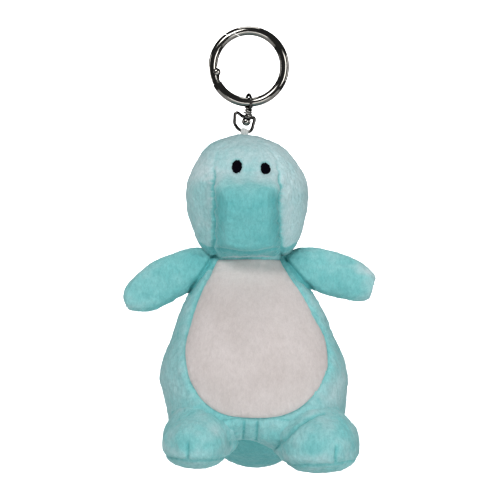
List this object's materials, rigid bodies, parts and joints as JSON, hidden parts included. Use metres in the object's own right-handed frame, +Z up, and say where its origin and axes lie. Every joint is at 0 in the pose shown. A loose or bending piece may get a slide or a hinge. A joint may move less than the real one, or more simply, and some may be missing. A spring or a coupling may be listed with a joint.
{
  "type": "plush keychain",
  "caption": "Snap ring with sprung gate, wire swivel and a small stuffed dinosaur with flipper arms, feet and a stubby tail.",
  "frame": {"origin": "centre of the snap ring", "axes": "+Z up, the way the keychain hangs; +Y is the ring's axis and points away from the face; +X to the right seen from the front"},
  "size_m": [0.0822, 0.074, 0.1424],
  "materials": {
    "nickel": "polished",
    "loop_thread": "matte",
    "eye_thread": "matte",
    "seam_thread": "matte",
    "belly_plush": "matte",
    "teal_plush": "matte",
    "stuffing": "matte"
  },
  "bodies": {
    "ring": {"ring_body": "nickel", "gate_hinge_pin": "nickel", "gate_spring": "nickel"},
    "gate": {"ring_gate": "nickel"},
    "eye": {"swivel_eye": "nickel", "swivel_wrap": "nickel", "swivel_rivet": "nickel", "swivel_washer": "nickel"},
    "stirrup": {"swivel_stirrup": "nickel"},
    "head": {"hanging_loop": "loop_thread", "head_gusset": "teal_plush", "head_side_left": "teal_plush", "head_side_right": "teal_plush", "head_back": "teal_plush", "chin": "teal_plush", "head_filling": "stuffing", "eye_left": "eye_thread", "eye_right": "eye_thread", "mouth_stitch": "seam_thread"},
    "torso": {"belly_panel": "belly_plush", "body_side_left": "teal_plush", "body_side_right": "teal_plush", "body_filling": "stuffing", "back_seam": "seam_thread", "foot_left_upper": "teal_plush", "foot_left_sole": "teal_plush", "foot_left_filling": "stuffing", "toe_stitch_left": "seam_thread", "foot_right_upper": "teal_plush", "foot_right_sole": "teal_plush", "foot_right_filling": "stuffing", "toe_stitch_right": "seam_thread"},
    "arm_left": {"arm_left_front": "teal_plush", "arm_left_back": "teal_plush", "arm_left_filling": "stuffing"},
    "arm_right": {"arm_right_front": "teal_plush", "arm_right_back": "teal_plush", "arm_right_filling": "stuffing"},
    "tail": {"tail_upper": "teal_plush", "tail_under": "teal_plush", "tail_filling": "stuffing"}
  },
  "joints": [
    {"name": "gate_hinge", "type": "hinge", "parent": "ring", "child": "gate", "pos_m": [-0.01025, 0, -0.00177], "axis": [0, 1, 0], "range_deg": [0, 30], "stiffness_Nm_per_rad": 0.004, "springref_deg": -20.05},
    {"name": "eye_travel", "type": "hinge", "parent": "ring", "child": "eye", "pos_m": [0, 0, 0], "axis": [0, 1, 0], "range_deg": [-120, 40]},
    {"name": "swivel_spin", "type": "hinge", "parent": "eye", "child": "stirrup", "pos_m": [0, 0, -0.0134], "axis": [-0.1822, 0, -0.9833], "continuous": true},
    {"name": "loop_swing", "type": "hinge", "parent": "stirrup", "child": "head", "pos_m": [-0.00133, 0, -0.02058], "axis": [0.9833, 0, -0.1822], "range_deg": [-50, 50]},
    {"name": "neck_nod", "type": "hinge", "parent": "head", "child": "torso", "pos_m": [0, 0, -0.0615], "axis": [1, 0, 0], "range_deg": [-8, 8], "stiffness_Nm_per_rad": 0.15},
    {"name": "arm_left_flap", "type": "hinge", "parent": "torso", "child": "arm_left", "pos_m": [-0.0172, 0, -0.0655], "axis": [0, 1, 0], "range_deg": [-14, 20], "stiffness_Nm_per_rad": 0.02},
    {"name": "arm_right_flap", "type": "hinge", "parent": "torso", "child": "arm_right", "pos_m": [0.0182, 0, -0.0657], "axis": [0, 1, 0], "range_deg": [-20, 14], "stiffness_Nm_per_rad": 0.02},
    {"name": "tail_wag", "type": "hinge", "parent": "torso", "child": "tail", "pos_m": [0.0021, 0.015, -0.1195], "axis": [0, 0, 1], "range_deg": [-12, 12], "stiffness_Nm_per_rad": 0.02}
  ]
}
